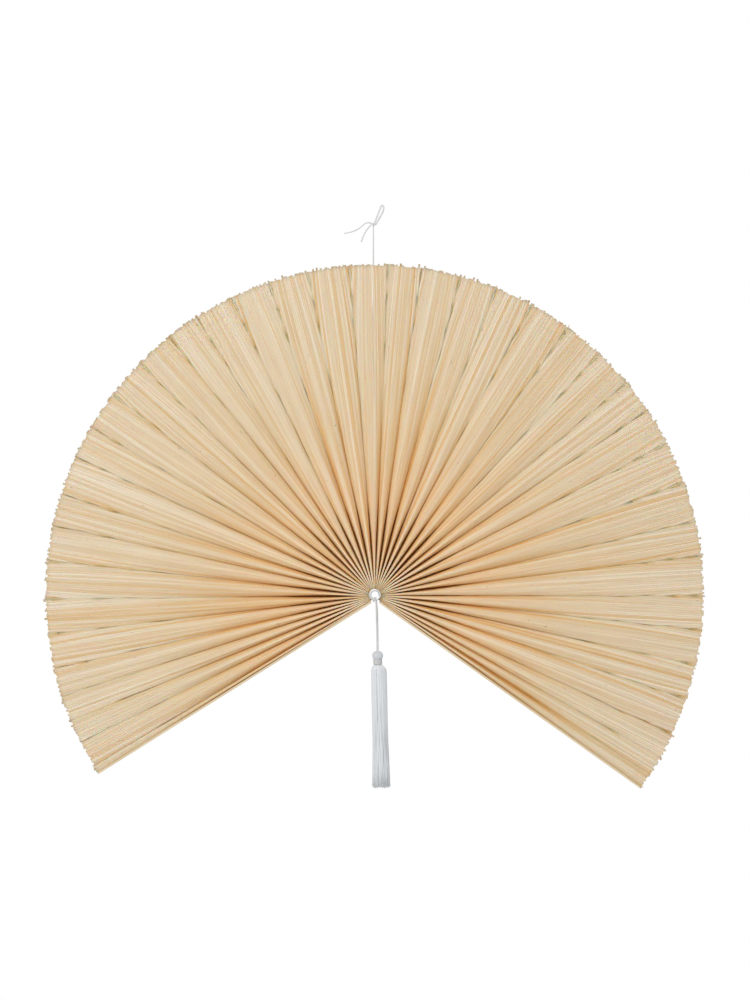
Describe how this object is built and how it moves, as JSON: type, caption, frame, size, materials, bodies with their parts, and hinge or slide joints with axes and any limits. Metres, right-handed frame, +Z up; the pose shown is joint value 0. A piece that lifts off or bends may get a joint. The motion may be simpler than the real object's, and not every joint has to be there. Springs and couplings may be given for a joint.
{
  "type": "bamboo wall fan",
  "caption": "Pleated wall fan of stitched bamboo sticks that opens to a wide sector on a metal pivot ring, with guard slats, a hanging cord and a tassel.",
  "frame": {"origin": "the nail in the hanging loop, at the inside of the loop's crown", "axes": "+Z up, +X to the right seen from the front, the front faces -Y and the wall is towards +Y"},
  "size_m": [1.0078, 0.0511, 0.891],
  "materials": {
    "bamboo_mat": "split bamboo sticks, bare, matt with a slight sheen",
    "bamboo_slat": "planed bamboo slat, bare, matt",
    "nickel_ring": "nickel plated, polished",
    "steel_wire": "drawn steel wire",
    "cotton_cord": "white twisted cotton string",
    "tassel_yarn": "white rayon threads, slight sheen"
  },
  "bodies": {
    "hub": {"pleat_21": "bamboo_mat", "pivot_ring": "nickel_ring", "binding_wire": "steel_wire", "hanging_cord": "cotton_cord", "hanging_knot": "cotton_cord", "hanging_loop": "cotton_cord", "long_tail": "cotton_cord", "short_tail": "cotton_cord"},
    "left_guard": {"left_guard": "bamboo_slat"},
    "pleat_20": {"pleat_20": "bamboo_mat"},
    "pleat_19": {"pleat_19": "bamboo_mat"},
    "pleat_18": {"pleat_18": "bamboo_mat"},
    "pleat_17": {"pleat_17": "bamboo_mat"},
    "pleat_16": {"pleat_16": "bamboo_mat"},
    "pleat_15": {"pleat_15": "bamboo_mat"},
    "pleat_14": {"pleat_14": "bamboo_mat"},
    "pleat_13": {"pleat_13": "bamboo_mat"},
    "pleat_12": {"pleat_12": "bamboo_mat"},
    "pleat_11": {"pleat_11": "bamboo_mat"},
    "pleat_10": {"pleat_10": "bamboo_mat"},
    "pleat_09": {"pleat_09": "bamboo_mat"},
    "pleat_08": {"pleat_08": "bamboo_mat"},
    "pleat_07": {"pleat_07": "bamboo_mat"},
    "pleat_06": {"pleat_06": "bamboo_mat"},
    "pleat_05": {"pleat_05": "bamboo_mat"},
    "pleat_04": {"pleat_04": "bamboo_mat"},
    "pleat_03": {"pleat_03": "bamboo_mat"},
    "pleat_02": {"pleat_02": "bamboo_mat"},
    "pleat_01": {"pleat_01": "bamboo_mat"},
    "right_guard": {"right_guard": "bamboo_slat"},
    "pleat_22": {"pleat_22": "bamboo_mat"},
    "pleat_23": {"pleat_23": "bamboo_mat"},
    "pleat_24": {"pleat_24": "bamboo_mat"},
    "pleat_25": {"pleat_25": "bamboo_mat"},
    "pleat_26": {"pleat_26": "bamboo_mat"},
    "pleat_27": {"pleat_27": "bamboo_mat"},
    "pleat_28": {"pleat_28": "bamboo_mat"},
    "pleat_29": {"pleat_29": "bamboo_mat"},
    "pleat_30": {"pleat_30": "bamboo_mat"},
    "pleat_31": {"pleat_31": "bamboo_mat"},
    "pleat_32": {"pleat_32": "bamboo_mat"},
    "pleat_33": {"pleat_33": "bamboo_mat"},
    "pleat_34": {"pleat_34": "bamboo_mat"},
    "pleat_35": {"pleat_35": "bamboo_mat"},
    "pleat_36": {"pleat_36": "bamboo_mat"},
    "pleat_37": {"pleat_37": "bamboo_mat"},
    "pleat_38": {"pleat_38": "bamboo_mat"},
    "pleat_39": {"pleat_39": "bamboo_mat"},
    "pleat_40": {"pleat_40": "bamboo_mat"},
    "pleat_41": {"pleat_41": "bamboo_mat"},
    "tassel_string": {"tassel_cord": "cotton_cord"},
    "tassel": {"tassel_head": "tassel_yarn", "tassel_neck_wrap": "cotton_cord", "tassel_skirt": "tassel_yarn"}
  },
  "joints": [
    {"name": "left_fold", "type": "hinge", "parent": "hub", "child": "left_guard", "pos_m": [-0.0106, -0.01, -0.5944], "axis": [0, 1, 0], "range_deg": [0, 117.85], "deforming": ["pleat_21"]},
    {"name": "fold_20", "type": "hinge", "parent": "hub", "child": "pleat_20", "pos_m": [-0.0106, -0.01, -0.5944], "axis": [0, 1, 0], "range_deg": [0, 6.86], "deforming": ["pleat_20"]},
    {"name": "fold_19", "type": "hinge", "parent": "hub", "child": "pleat_19", "pos_m": [-0.0106, -0.01, -0.5944], "axis": [0, 1, 0], "range_deg": [0, 13.82], "deforming": ["pleat_19"]},
    {"name": "fold_18", "type": "hinge", "parent": "hub", "child": "pleat_18", "pos_m": [-0.0106, -0.01, -0.5944], "axis": [0, 1, 0], "range_deg": [0, 20.58], "deforming": ["pleat_18"]},
    {"name": "fold_17", "type": "hinge", "parent": "hub", "child": "pleat_17", "pos_m": [-0.0106, -0.01, -0.5944], "axis": [0, 1, 0], "range_deg": [0, 27.39], "deforming": ["pleat_17"]},
    {"name": "fold_16", "type": "hinge", "parent": "hub", "child": "pleat_16", "pos_m": [-0.0106, -0.01, -0.5944], "axis": [0, 1, 0], "range_deg": [0, 33.58], "deforming": ["pleat_16"]},
    {"name": "fold_15", "type": "hinge", "parent": "hub", "child": "pleat_15", "pos_m": [-0.0106, -0.01, -0.5944], "axis": [0, 1, 0], "range_deg": [0, 39.66], "deforming": ["pleat_15"]},
    {"name": "fold_14", "type": "hinge", "parent": "hub", "child": "pleat_14", "pos_m": [-0.0106, -0.01, -0.5944], "axis": [0, 1, 0], "range_deg": [0, 46.52], "deforming": ["pleat_14"]},
    {"name": "fold_13", "type": "hinge", "parent": "hub", "child": "pleat_13", "pos_m": [-0.0106, -0.01, -0.5944], "axis": [0, 1, 0], "range_deg": [0, 53.39], "deforming": ["pleat_13"]},
    {"name": "fold_12", "type": "hinge", "parent": "hub", "child": "pleat_12", "pos_m": [-0.0106, -0.01, -0.5944], "axis": [0, 1, 0], "range_deg": [0, 59.48], "deforming": ["pleat_12"]},
    {"name": "fold_11", "type": "hinge", "parent": "hub", "child": "pleat_11", "pos_m": [-0.0106, -0.01, -0.5944], "axis": [0, 1, 0], "range_deg": [0, 65.67], "deforming": ["pleat_11"]},
    {"name": "fold_10", "type": "hinge", "parent": "hub", "child": "pleat_10", "pos_m": [-0.0106, -0.01, -0.5944], "axis": [0, 1, 0], "range_deg": [0, 71.77], "deforming": ["pleat_10"]},
    {"name": "fold_09", "type": "hinge", "parent": "hub", "child": "pleat_09", "pos_m": [-0.0106, -0.01, -0.5944], "axis": [0, 1, 0], "range_deg": [0, 77.48], "deforming": ["pleat_09"]},
    {"name": "fold_08", "type": "hinge", "parent": "hub", "child": "pleat_08", "pos_m": [-0.0106, -0.01, -0.5944], "axis": [0, 1, 0], "range_deg": [0, 83.77], "deforming": ["pleat_08"]},
    {"name": "fold_07", "type": "hinge", "parent": "hub", "child": "pleat_07", "pos_m": [-0.0106, -0.01, -0.5944], "axis": [0, 1, 0], "range_deg": [0, 90.02], "deforming": ["pleat_07"]},
    {"name": "fold_06", "type": "hinge", "parent": "hub", "child": "pleat_06", "pos_m": [-0.0106, -0.01, -0.5944], "axis": [0, 1, 0], "range_deg": [0, 95.98], "deforming": ["pleat_06"]},
    {"name": "fold_05", "type": "hinge", "parent": "hub", "child": "pleat_05", "pos_m": [-0.0106, -0.01, -0.5944], "axis": [0, 1, 0], "range_deg": [0, 101.31], "deforming": ["pleat_05"]},
    {"name": "fold_04", "type": "hinge", "parent": "hub", "child": "pleat_04", "pos_m": [-0.0106, -0.01, -0.5944], "axis": [0, 1, 0], "range_deg": [0, 105.92], "deforming": ["pleat_04"]},
    {"name": "fold_03", "type": "hinge", "parent": "hub", "child": "pleat_03", "pos_m": [-0.0106, -0.01, -0.5944], "axis": [0, 1, 0], "range_deg": [0, 110.09], "deforming": ["pleat_03"]},
    {"name": "fold_02", "type": "hinge", "parent": "hub", "child": "pleat_02", "pos_m": [-0.0106, -0.01, -0.5944], "axis": [0, 1, 0], "range_deg": [0, 114.36], "deforming": ["pleat_02"]},
    {"name": "fold_01", "type": "hinge", "parent": "hub", "child": "pleat_01", "pos_m": [-0.0106, -0.01, -0.5944], "axis": [0, 1, 0], "range_deg": [0, 117.27], "deforming": ["pleat_01"]},
    {"name": "right_fold", "type": "hinge", "parent": "hub", "child": "right_guard", "pos_m": [-0.0106, -0.01, -0.5944], "axis": [0, -1, 0], "range_deg": [0, 123.04]},
    {"name": "fold_22", "type": "hinge", "parent": "hub", "child": "pleat_22", "pos_m": [-0.0106, -0.01, -0.5944], "axis": [0, -1, 0], "range_deg": [0, 6.09], "deforming": ["pleat_22"]},
    {"name": "fold_23", "type": "hinge", "parent": "hub", "child": "pleat_23", "pos_m": [-0.0106, -0.01, -0.5944], "axis": [0, -1, 0], "range_deg": [0, 12.28], "deforming": ["pleat_23"]},
    {"name": "fold_24", "type": "hinge", "parent": "hub", "child": "pleat_24", "pos_m": [-0.0106, -0.01, -0.5944], "axis": [0, -1, 0], "range_deg": [0, 18.85], "deforming": ["pleat_24"]},
    {"name": "fold_25", "type": "hinge", "parent": "hub", "child": "pleat_25", "pos_m": [-0.0106, -0.01, -0.5944], "axis": [0, -1, 0], "range_deg": [0, 25.33], "deforming": ["pleat_25"]},
    {"name": "fold_26", "type": "hinge", "parent": "hub", "child": "pleat_26", "pos_m": [-0.0106, -0.01, -0.5944], "axis": [0, -1, 0], "range_deg": [0, 32.25], "deforming": ["pleat_26"]},
    {"name": "fold_27", "type": "hinge", "parent": "hub", "child": "pleat_27", "pos_m": [-0.0106, -0.01, -0.5944], "axis": [0, -1, 0], "range_deg": [0, 39.31], "deforming": ["pleat_27"]},
    {"name": "fold_28", "type": "hinge", "parent": "hub", "child": "pleat_28", "pos_m": [-0.0106, -0.01, -0.5944], "axis": [0, -1, 0], "range_deg": [0, 46.14], "deforming": ["pleat_28"]},
    {"name": "fold_29", "type": "hinge", "parent": "hub", "child": "pleat_29", "pos_m": [-0.0106, -0.01, -0.5944], "axis": [0, -1, 0], "range_deg": [0, 52.38], "deforming": ["pleat_29"]},
    {"name": "fold_30", "type": "hinge", "parent": "hub", "child": "pleat_30", "pos_m": [-0.0106, -0.01, -0.5944], "axis": [0, -1, 0], "range_deg": [0, 58.54], "deforming": ["pleat_30"]},
    {"name": "fold_31", "type": "hinge", "parent": "hub", "child": "pleat_31", "pos_m": [-0.0106, -0.01, -0.5944], "axis": [0, -1, 0], "range_deg": [0, 65.42], "deforming": ["pleat_31"]},
    {"name": "fold_32", "type": "hinge", "parent": "hub", "child": "pleat_32", "pos_m": [-0.0106, -0.01, -0.5944], "axis": [0, -1, 0], "range_deg": [0, 72.45], "deforming": ["pleat_32"]},
    {"name": "fold_33", "type": "hinge", "parent": "hub", "child": "pleat_33", "pos_m": [-0.0106, -0.01, -0.5944], "axis": [0, -1, 0], "range_deg": [0, 78.81], "deforming": ["pleat_33"]},
    {"name": "fold_34", "type": "hinge", "parent": "hub", "child": "pleat_34", "pos_m": [-0.0106, -0.01, -0.5944], "axis": [0, -1, 0], "range_deg": [0, 85.17], "deforming": ["pleat_34"]},
    {"name": "fold_35", "type": "hinge", "parent": "hub", "child": "pleat_35", "pos_m": [-0.0106, -0.01, -0.5944], "axis": [0, -1, 0], "range_deg": [0, 91.48], "deforming": ["pleat_35"]},
    {"name": "fold_36", "type": "hinge", "parent": "hub", "child": "pleat_36", "pos_m": [-0.0106, -0.01, -0.5944], "axis": [0, -1, 0], "range_deg": [0, 97.36], "deforming": ["pleat_36"]},
    {"name": "fold_37", "type": "hinge", "parent": "hub", "child": "pleat_37", "pos_m": [-0.0106, -0.01, -0.5944], "axis": [0, -1, 0], "range_deg": [0, 103.34], "deforming": ["pleat_37"]},
    {"name": "fold_38", "type": "hinge", "parent": "hub", "child": "pleat_38", "pos_m": [-0.0106, -0.01, -0.5944], "axis": [0, -1, 0], "range_deg": [0, 109.57], "deforming": ["pleat_38"]},
    {"name": "fold_39", "type": "hinge", "parent": "hub", "child": "pleat_39", "pos_m": [-0.0106, -0.01, -0.5944], "axis": [0, -1, 0], "range_deg": [0, 114.97], "deforming": ["pleat_39"]},
    {"name": "fold_40", "type": "hinge", "parent": "hub", "child": "pleat_40", "pos_m": [-0.0106, -0.01, -0.5944], "axis": [0, -1, 0], "range_deg": [0, 118.81], "deforming": ["pleat_40"]},
    {"name": "fold_41", "type": "hinge", "parent": "hub", "child": "pleat_41", "pos_m": [-0.0106, -0.01, -0.5944], "axis": [0, -1, 0], "range_deg": [0, 121.78], "deforming": ["pleat_41"]},
    {"name": "tassel_swing", "type": "hinge", "parent": "hub", "child": "tassel_string", "pos_m": [-0.0095, -0.02855, -0.60175], "axis": [0, 1, 0], "range_deg": [-40, 40], "deforming": ["tassel_cord"]},
    {"name": "tassel_lift", "type": "hinge", "parent": "tassel_string", "child": "tassel", "pos_m": [-0.0066, -0.02855, -0.6795], "axis": [-1, 0, 0], "range_deg": [0, 60]}
  ],
  "couplings": [
    {"joint": "fold_20", "follows": "left_fold", "ratio": 0.058211},
    {"joint": "fold_19", "follows": "left_fold", "ratio": 0.11724},
    {"joint": "fold_18", "follows": "left_fold", "ratio": 0.17462},
    {"joint": "fold_17", "follows": "left_fold", "ratio": 0.23241},
    {"joint": "fold_16", "follows": "left_fold", "ratio": 0.28488},
    {"joint": "fold_15", "follows": "left_fold", "ratio": 0.33653},
    {"joint": "fold_14", "follows": "left_fold", "ratio": 0.39476},
    {"joint": "fold_13", "follows": "left_fold", "ratio": 0.453},
    {"joint": "fold_12", "follows": "left_fold", "ratio": 0.50469},
    {"joint": "fold_11", "follows": "left_fold", "ratio": 0.55721},
    {"joint": "fold_10", "follows": "left_fold", "ratio": 0.60894},
    {"joint": "fold_09", "follows": "left_fold", "ratio": 0.65739},
    {"joint": "fold_08", "follows": "left_fold", "ratio": 0.7108},
    {"joint": "fold_07", "follows": "left_fold", "ratio": 0.76381},
    {"joint": "fold_06", "follows": "left_fold", "ratio": 0.81439},
    {"joint": "fold_05", "follows": "left_fold", "ratio": 0.85963},
    {"joint": "fold_04", "follows": "left_fold", "ratio": 0.89872},
    {"joint": "fold_03", "follows": "left_fold", "ratio": 0.93412},
    {"joint": "fold_02", "follows": "left_fold", "ratio": 0.97035},
    {"joint": "fold_01", "follows": "left_fold", "ratio": 0.99506},
    {"joint": "fold_22", "follows": "right_fold", "ratio": 0.049482},
    {"joint": "fold_23", "follows": "right_fold", "ratio": 0.099758},
    {"joint": "fold_24", "follows": "right_fold", "ratio": 0.15319},
    {"joint": "fold_25", "follows": "right_fold", "ratio": 0.20585},
    {"joint": "fold_26", "follows": "right_fold", "ratio": 0.26207},
    {"joint": "fold_27", "follows": "right_fold", "ratio": 0.31949},
    {"joint": "fold_28", "follows": "right_fold", "ratio": 0.37497},
    {"joint": "fold_29", "follows": "right_fold", "ratio": 0.42575},
    {"joint": "fold_30", "follows": "right_fold", "ratio": 0.47576},
    {"joint": "fold_31", "follows": "right_fold", "ratio": 0.5317},
    {"joint": "fold_32", "follows": "right_fold", "ratio": 0.58886},
    {"joint": "fold_33", "follows": "right_fold", "ratio": 0.64053},
    {"joint": "fold_34", "follows": "right_fold", "ratio": 0.69221},
    {"joint": "fold_35", "follows": "right_fold", "ratio": 0.74353},
    {"joint": "fold_36", "follows": "right_fold", "ratio": 0.79131},
    {"joint": "fold_37", "follows": "right_fold", "ratio": 0.8399},
    {"joint": "fold_38", "follows": "right_fold", "ratio": 0.89048},
    {"joint": "fold_39", "follows": "right_fold", "ratio": 0.93436},
    {"joint": "fold_40", "follows": "right_fold", "ratio": 0.96559},
    {"joint": "fold_41", "follows": "right_fold", "ratio": 0.98972}
  ]
}
